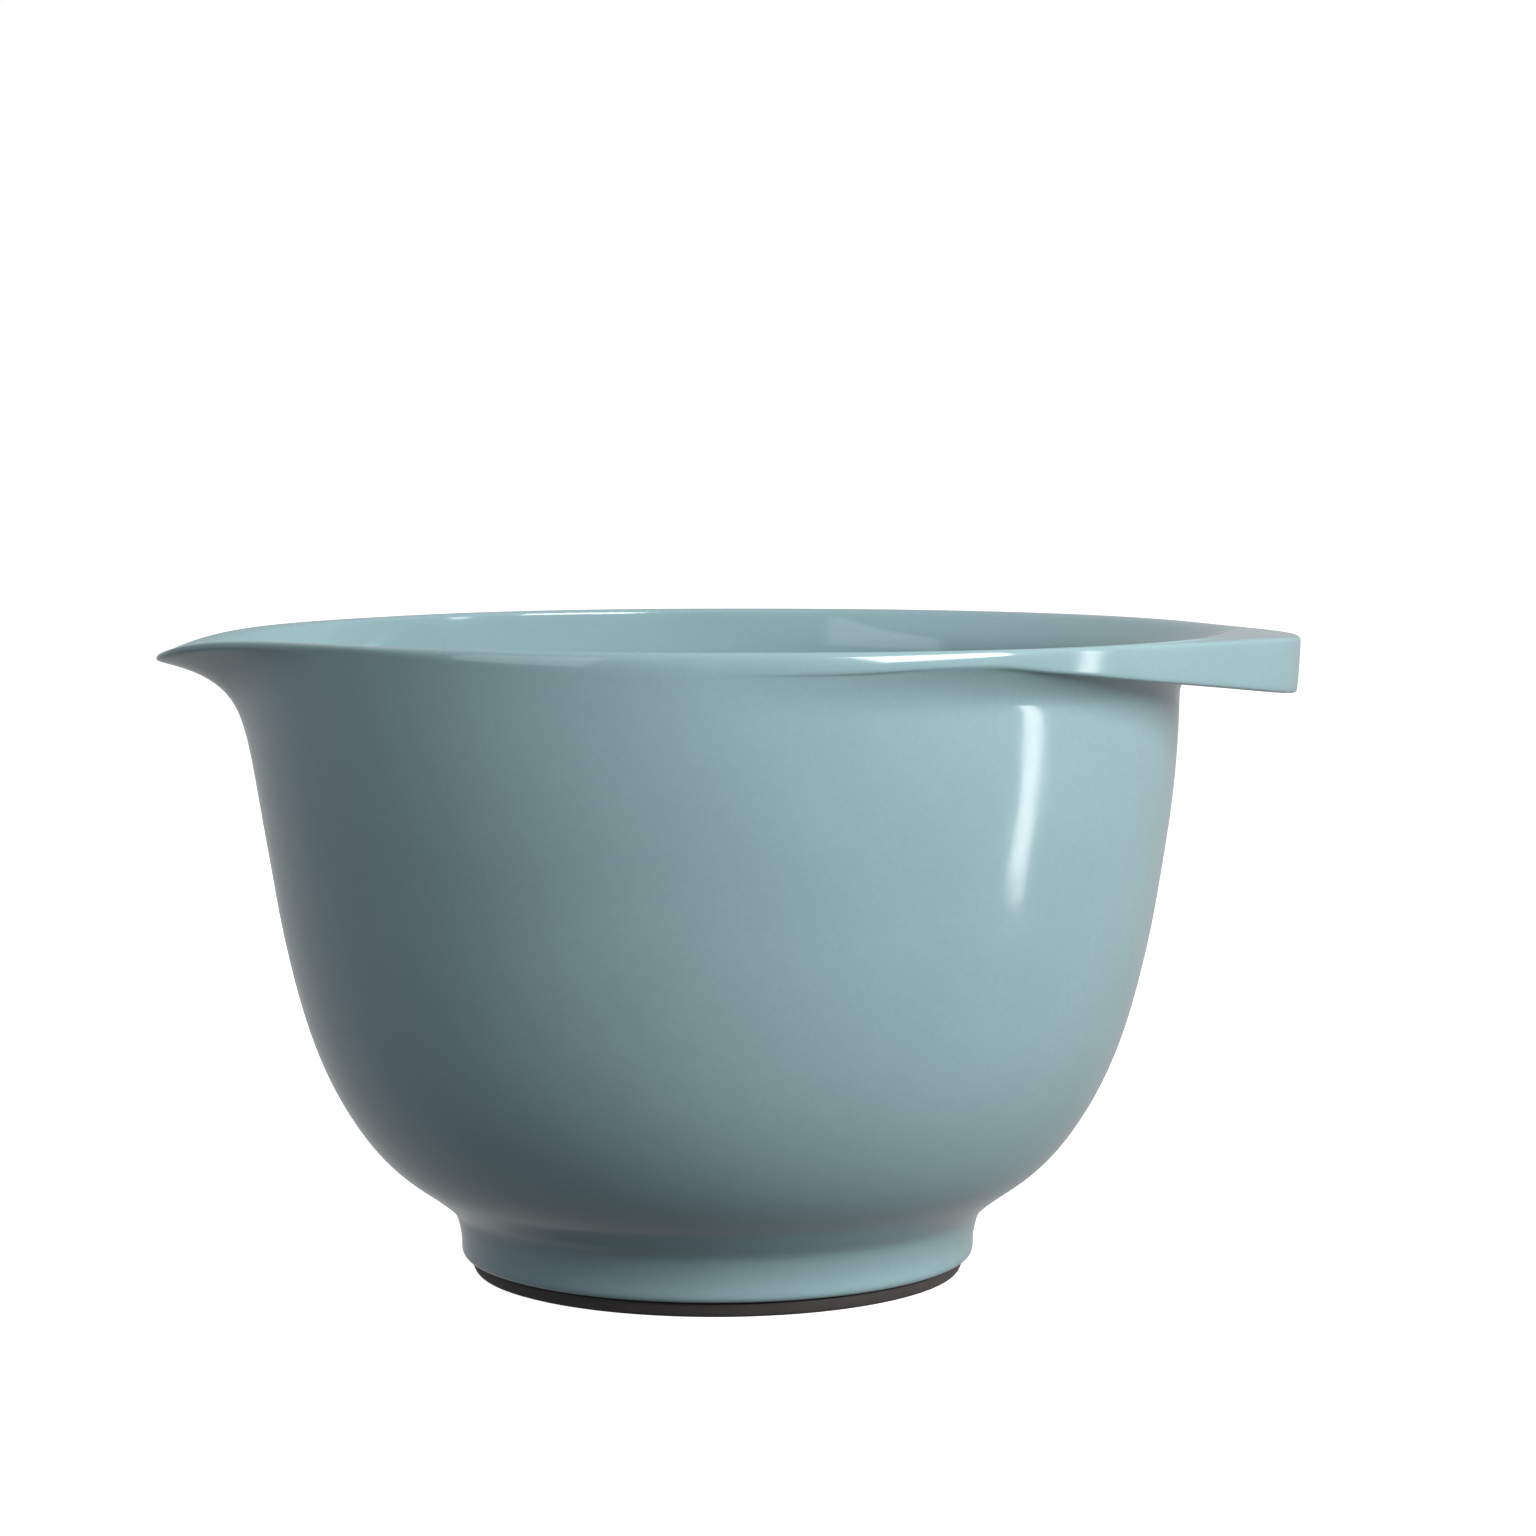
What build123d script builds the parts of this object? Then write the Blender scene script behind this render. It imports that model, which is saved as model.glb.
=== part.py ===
from build123d import *
import os
from math import acos, atan2, cos, exp, pi, radians, sin, sqrt

# Pouring mixing bowl, in millimetres. +Z is up, the bowl stands on z = 0 and its round body is
# centred on the Z axis. The spout points along -X and the grip along +X.
# Two pieces: the one-piece moulded bowl and the rubber ring that its foot stands on.

# ---- driving dimensions: body ----
rim_height = 147.0  # highest line of the rim above the standing surface
body_radius = 105.0  # outside, just under the rim
wall = 3.3  # moulded wall, the same nearly everywhere
wall_lean = 3.1  # how much narrower the wall is at spout_start than under the rim
spout_start = 97.0  # height where the spout starts to leave the round body
straight_depth = 13.0  # the wall is upright from here to the rim
foot_radius = 58.9  # outside of the foot
foot_top = 9.3  # where the foot's straight side ends
floor_thickness = 3.6
floor_underside = 7.4  # height of the hollow inside the foot
floor_flat_radius = 40.0  # flat part of the inside floor

# ---- driving dimensions: spout ----
spout_reach = 22.8  # past the body radius, at the tip
spout_tip_radius = 38.0  # seen from above
spout_drop = 7.2  # how far the tip lies under the rim
spout_edge = 1.7  # straight edge above the flare
spout_near_fall = 3.6  # height over which the flare's steep part fades
spout_near_share = 0.6  # of the reach, in that steep part
spout_far_fall = 12.0  # height over which its long tail fades
spout_floor = 2.6  # thickness of the spout's trough, straight up
spout_tip_bend = 14  # the tip's own droop: how sharply it starts
spout_slope_bend = 3  # the gentle fall before it
spout_slope_share = 0.14  # of the drop, in that gentle fall

# ---- driving dimensions: rim, swell and grip ----
lip_overhang = 0.4  # the rim's lip stands out this far past the wall
lip_height = 2.8
swell_reach = 12.3  # how far the opening grows towards the grip
swell_height = 11.5  # the wall turns out over this height
swell_bend = 1.4  # how late in that height it turns
swell_spread = 1.3  # how soon the swell fades round the rim
inner_peak_reach = 2.3  # blunt point of the opening at the grip
inner_peak_angle = 9.0
grip_reach = 15.4  # grip past the swell
grip_angle = 17.0  # how wide the grip spreads round the rim
skirt_depth = 13.3  # the grip's turned-down edge, at its end
skirt_start = 64.0  # distance from the axis where the lip starts to deepen into the skirt
skirt_wall = 3.0
skirt_bend = 1.2  # how late the lip deepens
plate = 3.2  # thickness of the grip's top plate
grip_end_drop = 1.4  # top of the grip's end, under the rim
grip_end_bend = 5  # how late it falls

# ---- driving dimensions: ring and the tongue that holds it ----
ring_height = 3.4
ring_outer_wall = 1.75  # rubber outside the tongue, at the top
ring_inner_wall = 2.05  # rubber inside the tongue
ring_taper = 1.1  # the ring's outside draws in this much towards the standing surface
ring_base = 1.1  # rubber under the tongue
shoulder_width = 3.7  # from the tongue's outside to the foot's
tongue_wall = 1.9
fit_clearance = 0.05  # between tongue and groove, on each side
shoulder_gap = 0.2  # between the ring's top and the foot's shoulder

# ---- how finely the free curves are set out ----
outline_points = 40
level_count = 9
level_bunching = 1.25  # more than 1 sets the levels closer together under the rim
side_steps = 24
overshoot = 4.0  # how far cutting shapes run past what they cut

# ---- places worked out from the driving dimensions ----
upright_from = rim_height - straight_depth
floor_height = floor_underside + floor_thickness
shoulder_height = ring_height + shoulder_gap
tongue_outer = foot_radius - shoulder_width
tongue_inner = tongue_outer - tongue_wall
groove_outer = tongue_outer + fit_clearance
groove_inner = tongue_inner - fit_clearance
ring_outer_radius = groove_outer + ring_outer_wall
ring_base_radius = ring_outer_radius - ring_taper
ring_inner_radius = groove_inner - ring_inner_wall
lip_radius = body_radius + lip_overhang
spout_tip = lip_radius + spout_reach
grip_end = lip_radius + swell_reach + grip_reach
swell_from = rim_height - swell_height

# The round body's side between the top of the foot and spout_start, as shares of the step out
# and of the step up: a hollow blend out of the foot, then the full curve of the bowl.
side_shape = [
    (0.018, 0.028),
    (0.053, 0.062),
    (0.159, 0.106),
    (0.348, 0.173),
    (0.515, 0.262),
    (0.682, 0.397),
    (0.816, 0.565),
    (0.928, 0.788),
]
blend_points = 3  # the first of these make the hollow blend, which the inside doesn't follow


def spout_share(angle):
    """Share of the spout's reach at an angle from its tip: round tip, straight flanks, then none."""
    centre = body_radius + spout_reach - spout_tip_radius
    flank = acos((body_radius - spout_tip_radius) / centre)
    tip = atan2(spout_tip_radius * sin(flank), centre + spout_tip_radius * cos(flank))
    angle = abs(angle)
    if angle >= flank:
        return 0.0
    radius = body_radius / cos(flank - angle)
    if angle < tip:
        radius = centre * cos(angle) + sqrt(spout_tip_radius**2 - (centre * sin(angle)) ** 2)
    return (radius - body_radius) / spout_reach


def flare_share(depth):
    """Share of the spout's reach that is left at a depth under the rim."""
    below = max(0.0, depth - spout_edge)
    near = spout_near_share * exp(-below / spout_near_fall)
    return near + (1 - spout_near_share) * exp(-below / spout_far_fall)


def bump(angle, spread):
    """One at the grip's middle, fading smoothly over a spread in degrees to each side."""
    return exp(-((angle / radians(spread)) ** 2))


def swell(angle):
    """How far the rim grows past the round body at an angle from the grip's middle."""
    return swell_reach * max(0.0, cos(angle)) ** swell_spread


def rim_drop(x):
    """How far the rim lies under its highest line, seen from the side."""
    past_spout = max(0.0, -x / spout_tip)
    past_grip = max(0.0, x / grip_end)
    droop = (1 - spout_slope_share) * past_spout**spout_tip_bend
    slope = spout_slope_share * past_spout**spout_slope_bend
    return spout_drop * (droop + slope) + grip_end_drop * past_grip**grip_end_bend


def upright_radius(height):
    """Outside radius of the round body from spout_start upwards."""
    short = max(0.0, (upright_from - height) / (upright_from - spout_start))
    return body_radius - wall_lean * short**2


def shell_outline(height, inset, spout_lift, grip_lift):
    """The wall's outline at a height, moved in by inset and raised at the spout and at the grip."""
    points = []
    for step in range(outline_points):
        angle = 2 * pi * step / outline_points
        from_grip = angle if angle <= pi else angle - 2 * pi
        share = spout_share(pi - abs(from_grip))
        rim = rim_height - rim_drop((body_radius + spout_reach * share) * cos(angle))
        gone = flare_share(rim_height - spout_start)
        flare = max(0.0, flare_share(rim - height + spout_lift) - gone) / (1 - gone)
        turned = max(0.0, height - grip_lift - swell_from) / swell_height
        outward = swell(from_grip) + inner_peak_reach * bump(from_grip, inner_peak_angle)
        radius = upright_radius(height) - inset + spout_reach * share * flare
        radius += outward * min(1.0, turned) ** swell_bend
        points.append((radius * cos(angle), radius * sin(angle)))
    return points


def collar_outline(inset):
    """Outline of the lip, the spout's edge and the grip, seen from above."""
    points = []
    for step in range(outline_points * 2):
        angle = pi * step / outline_points
        from_grip = angle if angle <= pi else angle - 2 * pi
        radius = lip_radius - inset + spout_reach * spout_share(pi - abs(from_grip))
        radius += swell(from_grip) + grip_reach * bump(from_grip, grip_angle)
        points.append((radius * cos(angle), radius * sin(angle)))
    return points


def wall_sections(top, inset, spout_lift, grip_lift):
    """The walls' outlines from spout_start, where they are round, up to top."""
    sections = []
    for step in range(level_count + 1):
        height = top - (top - spout_start) * (1 - step / level_count) ** level_bunching
        with BuildSketch(Plane.XY.offset(height)) as outline:
            if step == 0:
                Circle(upright_radius(height) - inset)
            else:
                with BuildLine():
                    Spline(*shell_outline(height, inset, spout_lift, grip_lift), periodic=True)
                make_face()
        sections.append(outline.sketch)
    return sections


def side_points(inset):
    """The points of side_shape, moved square to the curve by inset."""
    step_out = body_radius - wall_lean - foot_radius
    step_up = spout_start - foot_top
    curve = [(foot_radius, foot_top)]
    curve += [(foot_radius + out * step_out, foot_top + up * step_up) for out, up in side_shape]
    curve += [(foot_radius + step_out, spout_start)]
    moved = []
    for before, here, after in zip(curve, curve[1:], curve[2:]):
        along = (after[0] - before[0], after[1] - before[1])
        length = sqrt(along[0] ** 2 + along[1] ** 2)
        moved.append((here[0] - inset * along[1] / length, here[1] + inset * along[0] / length))
    return moved


upright_slope = 2 * wall_lean / (upright_from - spout_start)

# ---- lip, spout edge and grip: the outline from above, cut to its line from the side ----
side_x = [-spout_tip + (spout_tip + grip_end) * step / side_steps for step in range(side_steps + 1)]


def top_height(x):
    return rim_height - rim_drop(x)


def skirt_height(x):
    """Underside of the lip and of the skirt, seen from the side."""
    past_spout = max(0.0, -x / spout_tip)
    past_start = max(0.0, (x - skirt_start) / (grip_end - skirt_start))
    depth = lip_height - (lip_height - spout_edge) * past_spout**2
    return top_height(min(x, 0)) - depth - (skirt_depth - lip_height) * past_start**skirt_bend


with BuildPart() as tray:
    with BuildSketch(Plane.XY.offset(rim_height - skirt_depth - overshoot)):
        with BuildLine():
            Spline(*collar_outline(skirt_wall), periodic=True)
        make_face()
    extrude(amount=skirt_depth + 2 * overshoot)
    with BuildSketch(Plane.XZ):
        with BuildLine():
            ceiling = Spline(*[(x, top_height(x) - plate) for x in side_x if x > skirt_start])
            Polyline(
                ceiling @ 1,
                (grip_end, rim_height - skirt_depth - 2 * overshoot),
                ((ceiling @ 0).X, rim_height - skirt_depth - 2 * overshoot),
                ceiling @ 0,
            )
        make_face()
    extrude(amount=grip_end, both=True, mode=Mode.INTERSECT)

with BuildPart() as collar:
    with BuildSketch(Plane.XY.offset(rim_height - skirt_depth - overshoot)):
        with BuildLine():
            Spline(*collar_outline(0), periodic=True)
        make_face()
    extrude(amount=skirt_depth + 2 * overshoot)
    with BuildSketch(Plane.XZ):
        with BuildLine():
            below = Spline(*[(x, skirt_height(x)) for x in side_x])
            Polyline(
                below @ 1,
                (grip_end, rim_height + overshoot),
                (-spout_tip, rim_height + overshoot),
                below @ 0,
            )
        make_face()
    extrude(amount=grip_end, both=True, mode=Mode.INTERSECT)
    add(tray.part, mode=Mode.SUBTRACT)

with BuildPart() as inside:
    with BuildSketch(Plane.XZ):
        with BuildLine():
            inner_side = side_points(wall)[blend_points:]
            rise = Spline(
                (floor_flat_radius, floor_height),
                *inner_side,
                (upright_radius(spout_start) - wall, spout_start),
                tangents=((1, 0), (upright_slope, 1)),
            )
            Polyline(rise @ 1, (0, spout_start), (0, floor_height), rise @ 0)
        make_face()
    revolve(axis=Axis.Z)
    loft(wall_sections(rim_height + 5 * overshoot, wall, spout_floor, 0))

side = side_points(0)
below_end, above_end = side[blend_points - 2], side[blend_points]
blend_end = (above_end[0] - below_end[0], above_end[1] - below_end[1])

with BuildPart() as bowl:
    with BuildSketch(Plane.XZ):
        with BuildLine():
            blend = Spline(
                (foot_radius, foot_top),
                *side[:blend_points],
                tangents=((0, 1), blend_end),
            )
            belly = Spline(
                *side[blend_points - 1 :],
                (upright_radius(spout_start), spout_start),
                tangents=(blend_end, (upright_slope, 1)),
            )
            Polyline(
                belly @ 1,
                (0, spout_start),
                (0, floor_underside),
                (tongue_inner, floor_underside),
                (tongue_inner, ring_base + fit_clearance),
                (tongue_outer, ring_base + fit_clearance),
                (tongue_outer, shoulder_height),
                (foot_radius, shoulder_height),
                blend @ 0,
            )
        make_face()
    revolve(axis=Axis.Z)
    loft(wall_sections(rim_height + 2 * overshoot, 0, 0, -plate))
    add(collar.part)
    with BuildSketch(Plane.XZ):
        with BuildLine():
            rim_line = Spline(*[(x, top_height(x)) for x in side_x])
            Polyline(
                rim_line @ 1,
                (grip_end + overshoot, (rim_line @ 1).Y),
                (grip_end + overshoot, rim_height + 4 * overshoot),
                (-spout_tip - overshoot, rim_height + 4 * overshoot),
                (-spout_tip - overshoot, (rim_line @ 0).Y),
                rim_line @ 0,
            )
        make_face()
    extrude(amount=grip_end, both=True, mode=Mode.SUBTRACT)
    add(inside.part, mode=Mode.SUBTRACT)
bowl.part.label = "bowl"

with BuildPart() as ring:
    with BuildSketch(Plane.XZ):
        with BuildLine():
            Polyline(
                (ring_inner_radius, 0),
                (ring_base_radius, 0),
                (ring_outer_radius, ring_height),
                (groove_outer, ring_height),
                (groove_outer, ring_base),
                (groove_inner, ring_base),
                (groove_inner, ring_height),
                (ring_inner_radius, ring_height),
                close=True,
            )
        make_face()
    revolve(axis=Axis.Z)
ring.part.label = "non_slip_ring"

os.makedirs("parts", exist_ok=True)
export_step(bowl.part, "parts/bowl.step")
export_step(ring.part, "parts/non_slip_ring.step")
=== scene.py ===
from math import acos, atan2, cos, degrees, exp, pi, radians, sin, sqrt, tau

import bmesh
import bpy
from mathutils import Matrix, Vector


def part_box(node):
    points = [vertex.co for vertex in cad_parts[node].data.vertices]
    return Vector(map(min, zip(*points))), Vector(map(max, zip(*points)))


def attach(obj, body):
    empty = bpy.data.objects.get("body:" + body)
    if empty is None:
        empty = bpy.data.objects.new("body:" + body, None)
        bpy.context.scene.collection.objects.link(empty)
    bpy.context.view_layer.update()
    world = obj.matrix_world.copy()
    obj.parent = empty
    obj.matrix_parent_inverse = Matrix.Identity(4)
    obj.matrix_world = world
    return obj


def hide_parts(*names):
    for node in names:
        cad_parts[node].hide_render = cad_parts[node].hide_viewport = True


bl_info = {
    "name": "Pouring mixing bowl",
    "version": (1, 0, 0),
    "blender": (4, 5, 0),
    "location": "View3D > Sidebar > Bowl",
    "description": "Moulded mixing bowl with a spout, a grip and a rubber ring under its foot",
    "category": "Object",
}

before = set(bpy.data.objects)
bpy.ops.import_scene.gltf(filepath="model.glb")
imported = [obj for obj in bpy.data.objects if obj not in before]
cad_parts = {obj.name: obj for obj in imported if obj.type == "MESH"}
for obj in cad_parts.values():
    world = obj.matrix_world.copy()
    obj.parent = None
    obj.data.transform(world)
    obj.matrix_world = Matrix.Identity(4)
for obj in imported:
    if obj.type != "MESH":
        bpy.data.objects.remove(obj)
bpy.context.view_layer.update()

MM = 0.001
BOWL_LOW, BOWL_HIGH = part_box("bowl")
RING_LOW, RING_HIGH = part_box("non_slip_ring")


# ---- the bowl's shape, in millimetres ----

TIP_EASE = 0.4  # the spout's rounded tip stops this far inside the CAD box
LIP_EASE = 0.5  # and the rounded lip this far inside its sides
RIM_HEIGHT = BOWL_HIGH[2] / MM
SPOUT_TIP = -BOWL_LOW[0] / MM - TIP_EASE
GRIP_END = BOWL_HIGH[0] / MM
BODY_RADIUS = BOWL_HIGH[1] / MM - LIP_EASE
TONGUE_END = BOWL_LOW[2] / MM
RING_TOP = RING_HIGH[2] / MM

WALL = 3.3
WALL_LEAN = 3.1  # how much narrower the wall is where the spout starts
SPOUT_START = 97.0  # height where the spout leaves the round body
UPRIGHT_FROM = RIM_HEIGHT - 13.0
FOOT_RADIUS = 58.9
FOOT_TOP = 9.3
FLOOR_HEIGHT = 11.0
FLOOR_UNDERSIDE = 7.4
SHOULDER = RING_TOP + 0.2
TONGUE_OUTER = 55.2
TONGUE_INNER = 53.3

SPOUT_REACH = SPOUT_TIP - BODY_RADIUS
SPOUT_TIP_RADIUS = 38.0
SPOUT_DROP = 7.2
SPOUT_EDGE = 1.7  # height of the upright edge over the flare
SPOUT_STEEP = 3.6  # fall over which the flare's steep part fades
SPOUT_TAIL = 12.0  # fall over which its tail fades
SPOUT_STEEP_SHARE = 0.6  # of the reach, in the steep part
SPOUT_FLOOR = 2.0
SPOUT_THINNING = 1.6  # how much thinner the wall is at the spout's tip
FLANK_EASE = radians(5)  # the flanks run into the body over this angle to each side
DROOP_BEND = 14  # how late the tip's own droop starts
SLOPE_BEND = 3  # how late the gentle fall before it starts
SLOPE_SHARE = 0.14  # of the drop, in the gentle fall

SWELL_REACH = 12.3  # the opening grows this much towards the grip
SWELL_SPREAD = 1.3  # how soon that fades round the rim
SWELL_HEIGHT = 9.2
SWELL_TURN = 1.5  # how late in that height the wall turns out
PEAK_REACH = 2.3  # the blunt point of the opening
PEAK_ANGLE = radians(9)
GRIP_REACH = GRIP_END - BODY_RADIUS - SWELL_REACH
GRIP_ANGLE = radians(17)
GRIP_DROP = 1.4
GRIP_DROP_BEND = 5
CREST_INSET = 2  # the rim's highest line lies this far inside its edge
LIP_DEPTH = 1.0  # upright part of the lip, under its rounding
SKIRT_DEPTH = 13.3
SKIRT_START = 52.0  # distance from the axis where the lip starts to deepen
SKIRT_BEND = 0.95  # how late it deepens
SKIRT_OPENING = 0.2  # share of the way to the grip's end where the skirt stands clear of the wall
SKIRT_WALL = 3.0
SKIRT_DRAFT = 0.055  # the skirt leans in by this share of its depth
SKIRT_EDGE = 0.8  # rounding of its lower edge
PLATE = 3.2

# Roundings: at the bowl's sides, and what is added to that at the grip and at the spout.
INNER_ROUND_DOWN = (1.5, -0.3, -0.5)
INNER_ROUND_IN = (1.4, 1.0, 0.0)
OUTER_ROUND_DOWN = (4.4, -2.9, -3.2)
OUTER_ROUND_IN = (2.0, 0.0, -0.6)
GRIP_TURN = (45, 35)  # degrees from the grip where its share starts to fall, and for how many
SPOUT_TURN = (95, 45)  # the same for where the spout's share starts to rise

# The side between the foot's top and SPOUT_START, as shares of the step out and of the step up.
SIDE_SHAPE = [
    (0.0, 0.0),
    (0.018, 0.028),
    (0.053, 0.062),
    (0.159, 0.106),
    (0.348, 0.173),
    (0.515, 0.262),
    (0.682, 0.397),
    (0.816, 0.565),
    (0.928, 0.788),
    (1.0, 1.0),
]
SIDE_BEFORE = 2  # straight run under the side, which sets its slope there
SIDE_AFTER = 12  # and above it
SIDE_ROWS = 3  # rows of points for each step of the side
INNER_FROM = 4  # the step at which the inside's curve starts
OUTER_FROM = 1
SIDE_INSET = 0.5  # the side's inside lies in by this share of the inset asked for

# The middle of the inside floor, as (radius, height).
FLOOR_SECTION = [
    (0.0, FLOOR_HEIGHT),
    (14.0, FLOOR_HEIGHT),
    (28.0, FLOOR_HEIGHT),
    (40.0, FLOOR_HEIGHT + 0.15),
]

# The foot with its rounded edge, the shoulder, the tongue and the hollow inside the foot.
FOOT_SECTION = [
    (FOOT_RADIUS, FOOT_TOP - 1.0),
    (FOOT_RADIUS, SHOULDER + 2.4),
    (FOOT_RADIUS - 0.05, SHOULDER + 1.1),
    (FOOT_RADIUS - 0.5, SHOULDER + 0.35),
    (FOOT_RADIUS - 1.3, SHOULDER),
    (TONGUE_OUTER + 0.5, SHOULDER),
    (TONGUE_OUTER, SHOULDER - 0.1),
    (TONGUE_OUTER, TONGUE_END + 0.3),
    (TONGUE_OUTER - 0.3, TONGUE_END),
    (TONGUE_INNER + 0.3, TONGUE_END),
    (TONGUE_INNER, TONGUE_END + 0.3),
    (TONGUE_INNER, FLOOR_UNDERSIDE - 1.2),
    (TONGUE_INNER - 0.4, FLOOR_UNDERSIDE - 0.35),
    (TONGUE_INNER - 1.3, FLOOR_UNDERSIDE),
    (35.0, FLOOR_UNDERSIDE),
    (15.0, FLOOR_UNDERSIDE),
    (0.0, FLOOR_UNDERSIDE),
]

# The ring with its rounded edges and the groove that takes the tongue.
RING_SECTION = [
    (51.2, 0.35),
    (51.55, 0.0),
    (53.5, 0.0),
    (55.45, 0.0),
    (55.95, 0.4),
    (56.45, 1.7),
    (56.9, 2.95),
    (56.55, RING_TOP),
    (55.6, RING_TOP),
    (55.25, RING_TOP - 0.3),
    (55.25, 1.35),
    (55.0, 1.1),
    (53.5, 1.1),
    (53.25, 1.35),
    (53.25, RING_TOP - 0.3),
    (53.0, RING_TOP),
    (51.5, RING_TOP),
    (51.2, RING_TOP - 0.35),
    (51.2, 1.7),
]

# Heights at which the walls have a row of points, as shares of the way up from SPOUT_START.
INNER_ROWS = (0.1, 0.22, 0.34, 0.46, 0.56, 0.64, 0.7, 0.75, 0.8, 0.85, 0.9, 0.95, 1.0)
OUTER_ROWS = (0.96, 0.91, 0.86, 0.81, 0.76, 0.7, 0.64, 0.56, 0.46, 0.34, 0.22, 0.1)
TOP_ROWS = (0.1, 0.5, 0.9)
TOP_LEAST = 0.2  # least width of the rim's flat top
LIP_ROWS = 9
LIP_FIRST = 0.3  # the lip's rows where it runs straight into the wall
LIP_STEP = 0.45
ROUND_STEPS = 5
COLUMNS = 160
HALVINGS = 24  # for finding where the skirt's inside meets the wall


def smooth(value):
    """0 below 0, 1 above 1, and an even turn between."""
    value = min(1.0, max(0.0, value))
    return value * value * (3 - 2 * value)


def bump(angle, spread):
    """1 at the grip's middle, fading over the spread to each side."""
    return exp(-((angle / spread) ** 2))


def flare_share(depth):
    """Share of the spout's reach that is left at a depth under the rim."""
    below = max(0.0, depth - SPOUT_EDGE)
    steep = SPOUT_STEEP_SHARE * exp(-below / SPOUT_STEEP)
    return steep + (1 - SPOUT_STEEP_SHARE) * exp(-below / SPOUT_TAIL)


def upright_radius(height):
    """Outside radius of the round body from SPOUT_START upwards."""
    short = max(0.0, (UPRIGHT_FROM - height) / (UPRIGHT_FROM - SPOUT_START))
    return BODY_RADIUS - WALL_LEAN * short**2


def side_curve(inset, first_step):
    """Smooth points up the round side to SPOUT_START, moved square to it by inset."""
    step_out = BODY_RADIUS - WALL_LEAN - FOOT_RADIUS
    step_up = SPOUT_START - FOOT_TOP
    knots = [Vector((FOOT_RADIUS, FOOT_TOP - SIDE_BEFORE))]
    knots += [Vector((FOOT_RADIUS + a * step_out, FOOT_TOP + b * step_up)) for a, b in SIDE_SHAPE]
    knots.append(Vector((upright_radius(SPOUT_START + SIDE_AFTER), SPOUT_START + SIDE_AFTER)))
    curve = []
    for before, start, end, after in zip(knots, knots[1:], knots[2:], knots[3:]):
        # a cubic from start to end, with its slopes from the points before and after
        linear_part = end - before
        square_part = 2 * before - 5 * start + 4 * end - after
        cube_part = 3 * start - before - 3 * end + after
        for step in range(SIDE_ROWS):
            t = step / SIDE_ROWS
            place = start + 0.5 * (linear_part * t + square_part * t**2 + cube_part * t**3)
            slope = (linear_part + 2 * square_part * t + 3 * cube_part * t**2).normalized()
            moved = SIDE_INSET * inset
            curve.append((place.x - moved * slope.y, place.y + moved * slope.x))
    return curve[first_step * SIDE_ROWS :]


def between(start, end, share):
    """The point at a share of the way from start to end."""
    return tuple(a + (b - a) * share for a, b in zip(start, end))


def rounded(start, corner, end):
    """Points round a corner, from just past start to end."""
    steps = [step / ROUND_STEPS for step in range(1, ROUND_STEPS + 1)]
    return [between(between(start, corner, t), between(corner, end, t), t) for t in steps]


def spout_share(angle):
    """Share of the spout's reach at an angle from its tip: round tip, straight flanks, none."""
    centre = SPOUT_TIP - SPOUT_TIP_RADIUS
    flank = acos((BODY_RADIUS - SPOUT_TIP_RADIUS) / centre)
    tip = atan2(SPOUT_TIP_RADIUS * sin(flank), centre + SPOUT_TIP_RADIUS * cos(flank))
    if angle >= flank:
        return 0.0
    radius = BODY_RADIUS / cos(flank - angle)
    if angle < tip:
        radius = centre * cos(angle) + sqrt(SPOUT_TIP_RADIUS**2 - (centre * sin(angle)) ** 2)
    return (radius - BODY_RADIUS) / SPOUT_REACH


def eased_spout_share(angle):
    """spout_share with its corners eased, so that the flanks run into the body smoothly."""
    weights = {-1: 1, -0.5: 2, 0: 3, 0.5: 2, 1: 1}
    shares = [w * spout_share(abs(angle + FLANK_EASE * at)) for at, w in weights.items()]
    return sum(shares) / sum(weights.values())


def rim_drop(x):
    """How far the rim lies under its highest line, seen from the side."""
    past_spout = max(0.0, -x / SPOUT_TIP)
    past_grip = max(0.0, x / GRIP_END)
    droop = (1 - SLOPE_SHARE) * past_spout**DROOP_BEND + SLOPE_SHARE * past_spout**SLOPE_BEND
    return SPOUT_DROP * droop + GRIP_DROP * past_grip**GRIP_DROP_BEND


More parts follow.
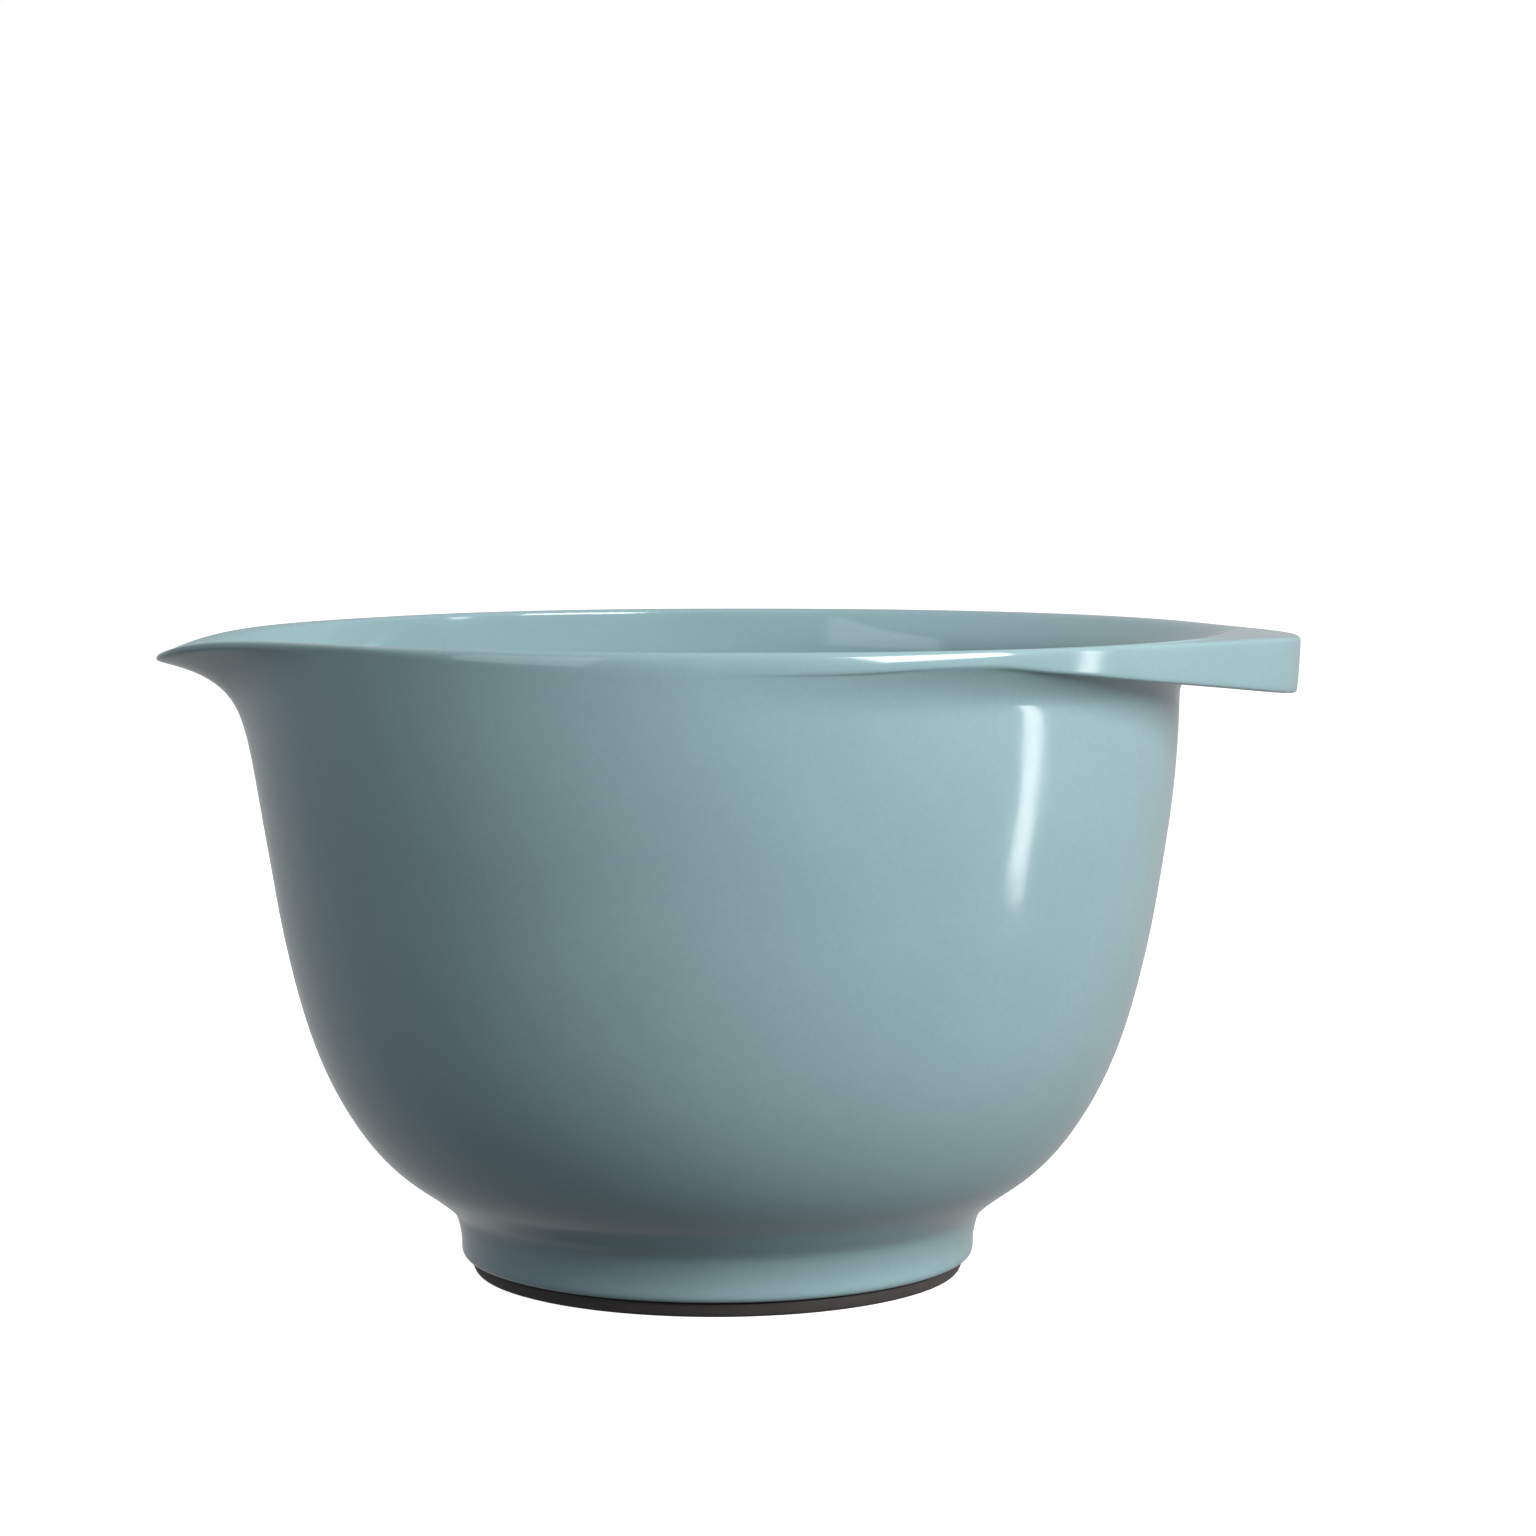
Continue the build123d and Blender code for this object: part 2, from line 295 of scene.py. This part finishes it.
def section(angle):
    """The closed section at an angle from the grip, as (radius, height) points.

    It runs from the middle of the inside floor up the inner wall, over the rim, down the
    skirt, up under the plate, down the outer wall and foot, and back to the axis.
    """
    share = eased_spout_share(pi - angle)
    swell = SWELL_REACH * max(0.0, cos(angle)) ** SWELL_SPREAD
    opening = swell + PEAK_REACH * bump(angle, PEAK_ANGLE)
    outer = BODY_RADIUS + SPOUT_REACH * share + swell + GRIP_REACH * bump(angle, GRIP_ANGLE)
    crest_x = (outer - CREST_INSET) * cos(angle)
    crest = RIM_HEIGHT - rim_drop(crest_x)
    inner_crest = RIM_HEIGHT - rim_drop(min(0.0, crest_x))
    gone = flare_share(RIM_HEIGHT - SPOUT_START)
    gripward = 1 - smooth((degrees(angle) - GRIP_TURN[0]) / GRIP_TURN[1])
    spoutward = smooth((degrees(angle) - SPOUT_TURN[0]) / SPOUT_TURN[1])

    def rounding(at_sides, at_grip, at_spout):
        return at_sides + at_grip * gripward + at_spout * spoutward

    def wall_radius(height, lift, spout_lift):
        flare = max(0.0, flare_share(crest - height + spout_lift) - gone) / (1 - gone)
        risen = height + lift - RIM_HEIGHT + SWELL_HEIGHT
        turned = min(1.0, max(0.0, risen) / SWELL_HEIGHT) ** SWELL_TURN
        return upright_radius(height) + SPOUT_REACH * share * flare + opening * turned

    def outer_wall(height):
        return wall_radius(height, PLATE, 0), height

    def inner_wall(height):
        inset = WALL - SPOUT_THINNING * share
        return wall_radius(height, 0, SPOUT_FLOOR) - inset, height

    # inside: floor, side, upright wall and the opening's edge
    points = FLOOR_SECTION + side_curve(WALL, INNER_FROM)
    climb = inner_crest - rounding(*INNER_ROUND_DOWN) - SPOUT_START
    points += [inner_wall(SPOUT_START + climb * row) for row in INNER_ROWS]
    corner = inner_wall(inner_crest)
    flat_from = (corner[0] + rounding(*INNER_ROUND_IN), inner_crest)
    points += rounded(points[-1], corner, flat_from)

    # top of the rim and its outer edge
    round_down = rounding(*OUTER_ROUND_DOWN)
    flat_end = max(outer - rounding(*OUTER_ROUND_IN), flat_from[0] + TOP_LEAST)
    flat_to = (flat_end, crest)
    points += [between(flat_from, flat_to, row) for row in TOP_ROWS]
    points.append(flat_to)
    points += rounded(flat_to, (outer, crest), (outer, crest - round_down))

    # the lip, which deepens into the grip's skirt, and the underside of the grip's plate
    reach = (outer * cos(angle) - SKIRT_START) / (GRIP_END - SKIRT_START)
    past_start = max(0.0, reach)
    opened = smooth(past_start / SKIRT_OPENING)
    lip = round_down + LIP_DEPTH
    depth = lip + (SKIRT_DEPTH - lip) * past_start**SKIRT_BEND
    under = crest - depth
    ceiling = crest - PLATE
    face = outer - SKIRT_DRAFT * (depth - round_down)
    inside = max(face - SKIRT_WALL, outer_wall(under)[0])
    meet = ceiling
    if inside < outer_wall(ceiling)[0]:
        low, high = under, ceiling
        for _ in range(HALVINGS):
            meet = 0.5 * (low + high)
            low, high = (meet, high) if outer_wall(meet)[0] < inside else (low, meet)
    meet = max(meet, under)
    lower, upper = (inside, under), (inside, meet)
    skirt = [
        between((outer, crest - round_down), (face, under), 0.5),
        (face, under + SKIRT_EDGE),
        (face - 0.25 * SKIRT_EDGE, under + 0.25 * SKIRT_EDGE),
        (face - SKIRT_EDGE, under),
        between((face, under), lower, 0.85),
        between(lower, upper, 0.1),
        between(lower, upper, 0.85),
        between(upper, outer_wall(meet), 0.2),
        between(upper, outer_wall(meet), 0.9),
    ]
    plain_top = crest - round_down - LIP_FIRST
    plain = [outer_wall(plain_top - LIP_STEP * row) for row in range(LIP_ROWS)]
    points += [between(straight, open_one, opened) for straight, open_one in zip(plain, skirt)]

    # outer side, foot, tongue and underside
    wall_from = plain[-1][1] + (meet - plain[-1][1]) * opened
    points += [outer_wall(SPOUT_START + (wall_from - SPOUT_START) * row) for row in OUTER_ROWS]
    points += reversed(side_curve(0, OUTER_FROM))
    return points + FOOT_SECTION


# ---- meshes ----


MERGE_DISTANCE = 1e-6


def spun(profile, closed):
    """A mesh turned from a profile in the XZ plane, with each point's place in the profile kept."""
    mesh = bmesh.new()
    row = mesh.verts.layers.int.new("row")
    verts = []
    for place, (radius, height) in enumerate(profile):
        vert = mesh.verts.new((radius * MM, 0, height * MM))
        vert[row] = place
        verts.append(vert)
    pairs = list(zip(verts, verts[1:]))
    if closed:
        pairs.append((verts[-1], verts[0]))
    edges = [mesh.edges.new(pair) for pair in pairs]
    bmesh.ops.spin(
        mesh,
        geom=verts + edges,
        cent=(0, 0, 0),
        axis=(0, 0, 1),
        angle=tau,
        steps=COLUMNS,
        use_merge=True,
    )
    bmesh.ops.remove_doubles(mesh, verts=mesh.verts[:], dist=MERGE_DISTANCE)
    return mesh, row


def placed(name, mesh, material):
    """Puts a mesh in the scene as an object with one material."""
    data = bpy.data.meshes.new(name)
    mesh.to_mesh(data)
    mesh.free()
    data.materials.append(material)
    piece = bpy.data.objects.new(name, data)
    bpy.context.scene.collection.objects.link(piece)
    return piece


def finished(name, mesh, levels, material, node, body):
    """Puts a mesh in the scene as a piece that stands for a CAD node and rides on its body."""
    bmesh.ops.recalc_face_normals(mesh, faces=mesh.faces[:])
    for face in mesh.faces:
        face.smooth = True
    piece = placed(name, mesh, material)
    subdivision = piece.modifiers.new("Smooth", "SUBSURF")
    subdivision.levels = subdivision.render_levels = levels
    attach(piece, body)
    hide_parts(node)


# ---- materials ----


def linear(colour):
    """A colour such as "8BA8AD" as the linear red, green, blue and alpha that the nodes read."""
    channels = [int(colour[place : place + 2], 16) / 255 for place in (0, 2, 4)]
    toned = [c / 12.92 if c <= 0.04045 else ((c + 0.055) / 1.055) ** 2.4 for c in channels]
    return toned + [1.0]


WHITE = linear("FFFFFF")


def add(tree, kind, settings=(), links=(), **values):
    """Adds a node: settings are its properties, values its inputs, links (input, output) pairs."""
    node = tree.nodes.new(kind)
    for name, value in dict(settings).items():
        setattr(node, name, value)
    for name, value in values.items():
        node.inputs[name.replace("_", " ")].default_value = value
    for target, source in links:
        tree.links.new(source, node.inputs[target])
    return node


def new_material(name):
    """A material without nodes, its node tree, and the coordinates that its patterns follow."""
    material = bpy.data.materials.new(name)
    material.use_nodes = True
    tree = material.node_tree
    tree.nodes.clear()
    return material, tree, add(tree, "ShaderNodeTexCoord").outputs["Object"]


def noise(tree, place, **values):
    return add(tree, "ShaderNodeTexNoise", links=[("Vector", place)], **values).outputs["Fac"]


def ranged(tree, source, **values):
    """A value moved to another range."""
    return add(tree, "ShaderNodeMapRange", links=[("Value", source)], **values).outputs["Result"]


def mixed(tree, factor, first, second):
    """A colour that changes from first to second with a factor from 0 to 1."""
    tone = {"data_type": "RGBA"}
    mix = add(tree, "ShaderNodeMix", settings=tone, links=[("Factor", factor)], A=first, B=second)
    return mix.outputs["Result"]


def surfaced(tree, links, **values):
    """Adds the surface shader and the output."""
    surface = add(tree, "ShaderNodeBsdfPrincipled", links=links, **values)
    add(tree, "ShaderNodeOutputMaterial", links=[("Surface", surface.outputs["BSDF"])])


def melamine(settings):
    """Melamine, pressed in a polished mould: a hard gloss over a colour with faint flow marks."""
    material, tree, place = new_material("melamine_moulded")
    # flow marks of the moulding powder, some 25 mm across
    flow = noise(tree, place, Scale=40.0, Detail=3.0, Roughness=0.55)
    tone = mixed(tree, flow, settings.colour_dark, settings.colour_light)
    # pigment grains under 1 mm, drawn coarse enough to show
    grain = noise(tree, place, Scale=900.0, Detail=2.0)
    fleck = ranged(tree, grain, From_Min=0.3, From_Max=0.7, To_Min=0.975, To_Max=1.02)
    multiply = {"data_type": "RGBA", "blend_type": "MULTIPLY"}
    links = [("A", tone), ("B", fleck)]
    colour = add(tree, "ShaderNodeMix", settings=multiply, links=links, Factor=1.0)
    # handling dulls the gloss unevenly, in patches some 15 mm across
    wear = noise(tree, place, Scale=70.0, Detail=4.0)
    gloss = ranged(tree, wear, From_Min=0.35, From_Max=0.7, To_Min=0.09, To_Max=0.15)
    # the mould's polish leaves a ripple of a few micrometres, some 8 mm long
    links = [("Height", noise(tree, place, Scale=120.0, Detail=1.0))]
    ripple = add(tree, "ShaderNodeBump", links=links, Strength=0.12, Distance=0.0004)
    links = [
        ("Base Color", colour.outputs["Result"]),
        ("Roughness", gloss),
        ("Normal", ripple.outputs["Normal"]),
    ]
    surfaced(tree, links, IOR=1.6)
    return material


def ring_rubber(settings):
    """Silicone rubber, moulded against an eroded steel face: matte, with a fine even grain."""
    material, tree, place = new_material("rubber_moulded")
    # the mould's grain is 0.2 mm, drawn at 0.7 mm so that it shows
    grain = noise(tree, place, Scale=1400.0, Detail=3.0)
    # dust and flour settle in patches some 10 mm long
    dust = noise(tree, place, Scale=110.0, Detail=5.0, Roughness=0.6)
    links = [("Height", grain)]
    pitted = add(tree, "ShaderNodeBump", links=links, Strength=0.35, Distance=0.0002)
    links = [
        ("Base Color", mixed(tree, dust, settings.rubber_dark, settings.rubber_light)),
        ("Roughness", ranged(tree, grain, To_Min=0.55, To_Max=0.75)),
        ("Normal", pitted.outputs["Normal"]),
    ]
    surfaced(tree, links, IOR=1.43)
    return material


def floor_paint(settings):
    """Board, rolled with matt white paint: pale and nearly without gloss."""
    material, tree, place = new_material("board_painted")
    nap = noise(tree, place, Scale=60.0, Detail=4.0)
    links = [("Base Color", mixed(tree, nap, settings.floor_colour, linear("F4F4F3")))]
    surfaced(
        tree,
        links,
        Roughness=0.85,
        Emission_Color=WHITE,
        Emission_Strength=settings.floor_glow,
    )
    return material


# ---- settings ----


def colour_setting(name, description, colour):
    return bpy.props.FloatVectorProperty(
        name=name,
        description=description,
        default=linear(colour),
        size=4,
        subtype="COLOR",
        min=0,
        max=1,
    )


class BowlSettings(bpy.types.PropertyGroup):
    colour_dark: colour_setting("Dark tone", "Darker tone of the melamine's flow marks", "8BA8AD")
    colour_light: colour_setting(
        "Light tone", "Lighter tone of the melamine's flow marks", "92B0B5"
    )
    smoothness: bpy.props.IntProperty(
        name="Smoothness", description="Subdivision levels of the bowl", default=1, min=0, max=2
    )


class RingSettings(bpy.types.PropertyGroup):
    rubber_dark: colour_setting("Rubber", "Colour of the clean rubber", "3E3A39")
    rubber_light: colour_setting(
        "Dusty rubber", "Colour of the rubber where flour has settled", "55504F"
    )
    smoothness: bpy.props.IntProperty(
        name="Smoothness", description="Subdivision levels of the ring", default=1, min=0, max=2
    )


class StageSettings(bpy.types.PropertyGroup):
    floor_colour: colour_setting("Floor", "Colour of the floor", "ECECEA")
    floor_glow: bpy.props.FloatProperty(
        name="Floor glow",
        description="Light that the floor gives by itself",
        default=0.9,
        min=0,
        max=2,
    )
    key_power: bpy.props.FloatProperty(
        name="Key light",
        description="Power of the large soft light",
        default=20.0,
        unit="POWER",
        min=0,
    )
    fill_power: bpy.props.FloatProperty(
        name="Fill light",
        description="Power of the weak light on the spout's side",
        default=6.0,
        unit="POWER",
        min=0,
    )
    side_power: bpy.props.FloatProperty(
        name="Side light",
        description="Power of the tall light beside the grip",
        default=1.2,
        unit="POWER",
        min=0,
    )
    camera_distance: bpy.props.FloatProperty(
        name="Camera distance",
        description="From the bowl's axis",
        default=0.8885,
        unit="LENGTH",
        min=0.3,
    )
    lens: bpy.props.FloatProperty(
        name="Lens", description="Focal length", default=91.4, min=10, unit="CAMERA"
    )


# ---- operators ----


ON_AXIS = 1e-5  # points nearer to the axis than this stay on it


class MakeBowl(bpy.types.Operator):
    """Make the one-piece moulded bowl with its spout, rim, grip and foot"""

    bl_idname = "bowl.make_bowl"
    bl_label = "Bowl"

    def execute(self, context):
        settings = context.scene.bowl_settings
        sections = [section(tau * column / COLUMNS) for column in range(COLUMNS // 2 + 1)]
        mesh, row = spun(section(pi / 2), closed=False)
        for vert in mesh.verts:
            if vert.co.xy.length < ON_AXIS:
                continue
            turn = atan2(vert.co.y, vert.co.x)
            radius, height = sections[round(abs(turn) * COLUMNS / tau)][vert[row]]
            vert.co = (radius * MM * cos(turn), radius * MM * sin(turn), height * MM)
        material = melamine(settings)
        finished("Bowl", mesh, settings.smoothness, material, "bowl", "bowl")
        return {"FINISHED"}


class MakeRing(bpy.types.Operator):
    """Make the rubber ring under the foot"""

    bl_idname = "bowl.make_ring"
    bl_label = "Non-slip ring"

    def execute(self, context):
        settings = context.scene.ring_settings
        mesh, _ = spun(RING_SECTION, closed=True)
        finished(
            "Non_slip_ring",
            mesh,
            settings.smoothness,
            ring_rubber(settings),
            "non_slip_ring",
            "ring",
        )
        return {"FINISHED"}


# Places, sizes and directions of the stage, in metres.
FLOOR_REACH = 4.0
LIT_POINT = (0, 0, 0.08)
SIDE_LIGHT_PLACE = (0.93, -0.20, 0.075)
SIDE_LIGHT_SIZE = (0.09, 0.57)
KEY_LIGHT_PLACE = (0.73, -0.82, 0.75)
KEY_LIGHT_SIZE = (0.7, 0.7)
FILL_LIGHT_PLACE = (-1.3, -1.2, 0.9)
FILL_LIGHT_SIZE = (1.2, 1.2)
ROOM_BRIGHT_SIDE = (0.20, 0.88, 0.42)
CAMERA_HEIGHT = 0.1898
CAMERA_AHEAD = (0.01306, 0.99991, 0)
CAMERA_PITCH = radians(4.813)
CAMERA_SENSOR = 36
CAMERA_CLIP = 50


def area_light(name, place, size, power, colour):
    """A rectangular light at a place, turned to the bowl."""
    data = bpy.data.lights.new(name, "AREA")
    data.shape = "RECTANGLE"
    data.size, data.size_y = size
    data.energy = power
    data.color = linear(colour)[:3]
    lamp = bpy.data.objects.new(name, data)
    lamp.location = place
    lamp.rotation_euler = (Vector(LIT_POINT) - Vector(place)).to_track_quat("-Z", "Y").to_euler()
    bpy.context.scene.collection.objects.link(lamp)


def room_light():
    """A room that is brighter behind the bowl and above it, and plain white to the camera."""
    world = bpy.data.worlds.new("Studio")
    world.use_nodes = True
    tree = world.node_tree
    tree.nodes.clear()
    around = add(tree, "ShaderNodeTexCoord").outputs["Generated"]
    dot = {"operation": "DOT_PRODUCT"}
    towards = add(tree, "ShaderNodeVectorMath", settings=dot, links=[(0, around)])
    towards.inputs[1].default_value = ROOM_BRIGHT_SIDE
    towards = towards.outputs["Value"]
    glow = ranged(tree, towards, From_Min=-0.5, From_Max=0.9, To_Min=0.12, To_Max=0.6)
    room = add(tree, "ShaderNodeBackground", links=[("Strength", glow)])
    plain = add(tree, "ShaderNodeBackground", Color=WHITE, Strength=1.0)
    seen = add(tree, "ShaderNodeLightPath").outputs["Is Camera Ray"]
    links = [(0, seen), (1, room.outputs[0]), (2, plain.outputs[0])]
    both = add(tree, "ShaderNodeMixShader", links=links)
    add(tree, "ShaderNodeOutputWorld", links=[("Surface", both.outputs[0])])
    return world


def camera_at(distance, focal_length):
    """The camera in front of the bowl, looking a little down and to the right of its axis."""
    lens = bpy.data.cameras.new("Camera")
    lens.lens = focal_length
    lens.sensor_width = CAMERA_SENSOR
    lens.clip_end = CAMERA_CLIP
    camera = bpy.data.objects.new("Camera", lens)
    camera.location = (0, -distance, CAMERA_HEIGHT)
    level = Vector(CAMERA_AHEAD).normalized()
    ahead = level * cos(CAMERA_PITCH) - Vector((0, 0, sin(CAMERA_PITCH)))
    camera.rotation_euler = ahead.to_track_quat("-Z", "Y").to_euler()
    bpy.context.scene.collection.objects.link(camera)
    return camera


class MakeStage(bpy.types.Operator):
    """Make the floor, the lights and the camera"""

    bl_idname = "bowl.make_stage"
    bl_label = "Stage"

    def execute(self, context):
        settings = context.scene.stage_settings
        mesh = bmesh.new()
        bmesh.ops.create_grid(mesh, x_segments=4, y_segments=4, size=FLOOR_REACH)
        floor = placed("Floor", mesh, floor_paint(settings))
        # the bowl neither mirrors the floor nor takes light from it, as on a raised stand
        floor.visible_diffuse = floor.visible_glossy = floor.visible_shadow = False
        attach(floor, "ring")
        for name, place, size, power, colour in (
            ("Side_light", SIDE_LIGHT_PLACE, SIDE_LIGHT_SIZE, settings.side_power, "FFFFFF"),
            ("Key_light", KEY_LIGHT_PLACE, KEY_LIGHT_SIZE, settings.key_power, "FFFFFF"),
            ("Fill_light", FILL_LIGHT_PLACE, FILL_LIGHT_SIZE, settings.fill_power, "F2F8FF"),
        ):
            area_light(name, place, size, power, colour)
        scene = context.scene
        scene.world = room_light()
        scene.camera = camera_at(settings.camera_distance, settings.lens)
        scene.view_settings.view_transform = "Standard"
        return {"FINISHED"}


class BowlPanel(bpy.types.Panel):
    """Lists the pieces of the bowl"""

    bl_idname = "VIEW3D_PT_bowl"
    bl_label = "Pouring mixing bowl"
    bl_space_type = "VIEW_3D"
    bl_region_type = "UI"
    bl_category = "Bowl"

    def draw(self, context):
        for operator, settings in (
            (MakeBowl, context.scene.bowl_settings),
            (MakeRing, context.scene.ring_settings),
            (MakeStage, context.scene.stage_settings),
        ):
            box = self.layout.box()
            for name in settings.__annotations__:
                box.prop(settings, name)
            box.operator(operator.bl_idname)


CLASSES = (BowlSettings, RingSettings, StageSettings, MakeBowl, MakeRing, MakeStage, BowlPanel)


def register():
    for each in CLASSES:
        bpy.utils.register_class(each)
    bpy.types.Scene.bowl_settings = bpy.props.PointerProperty(type=BowlSettings)
    bpy.types.Scene.ring_settings = bpy.props.PointerProperty(type=RingSettings)
    bpy.types.Scene.stage_settings = bpy.props.PointerProperty(type=StageSettings)


def unregister():
    del bpy.types.Scene.bowl_settings, bpy.types.Scene.ring_settings, bpy.types.Scene.stage_settings
    for each in reversed(CLASSES):
        bpy.utils.unregister_class(each)


def main():
    register()
    bpy.ops.bowl.make_bowl()
    bpy.ops.bowl.make_ring()
    bpy.ops.bowl.make_stage()
    bpy.context.view_layer.update()


if __name__ == "__main__":
    main()
